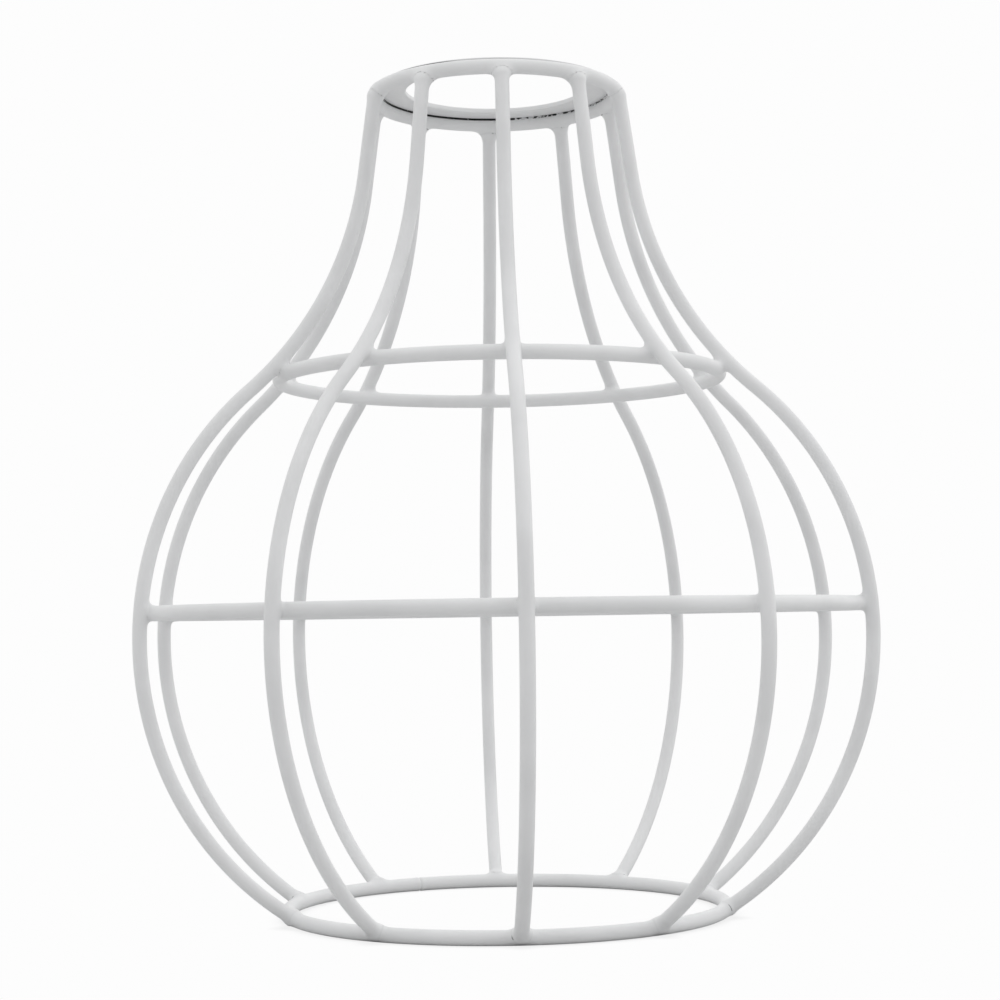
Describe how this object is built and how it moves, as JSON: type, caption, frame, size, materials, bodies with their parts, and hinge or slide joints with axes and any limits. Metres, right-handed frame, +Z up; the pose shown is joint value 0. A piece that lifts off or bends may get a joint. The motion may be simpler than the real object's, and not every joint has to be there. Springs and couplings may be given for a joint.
{
  "type": "wire cage lampshade",
  "caption": "Open onion-shaped wire cage lampshade: bent wire ribs welded round wire rings, with a flat gallery plate and a hole for a lamp holder at the top.",
  "frame": {"origin": "centre of the bottom ring, on the surface that the cage stands on", "axes": "+Z up along the cage's axis towards the lamp holder, the first rib on -Y"},
  "size_m": [0.1668, 0.1734, 0.193],
  "materials": {
    "white_powder_coat": "satin white powder coat"
  },
  "bodies": {
    "root": {"top_ring": "white_powder_coat", "neck_ring": "white_powder_coat", "belly_ring": "white_powder_coat", "bottom_ring": "white_powder_coat", "gallery_plate": "white_powder_coat", "rib_01": "white_powder_coat", "rib_02": "white_powder_coat", "rib_03": "white_powder_coat", "rib_04": "white_powder_coat", "rib_05": "white_powder_coat", "rib_06": "white_powder_coat", "rib_07": "white_powder_coat", "rib_08": "white_powder_coat", "rib_09": "white_powder_coat", "rib_10": "white_powder_coat"}
  },
  "joints": []
}
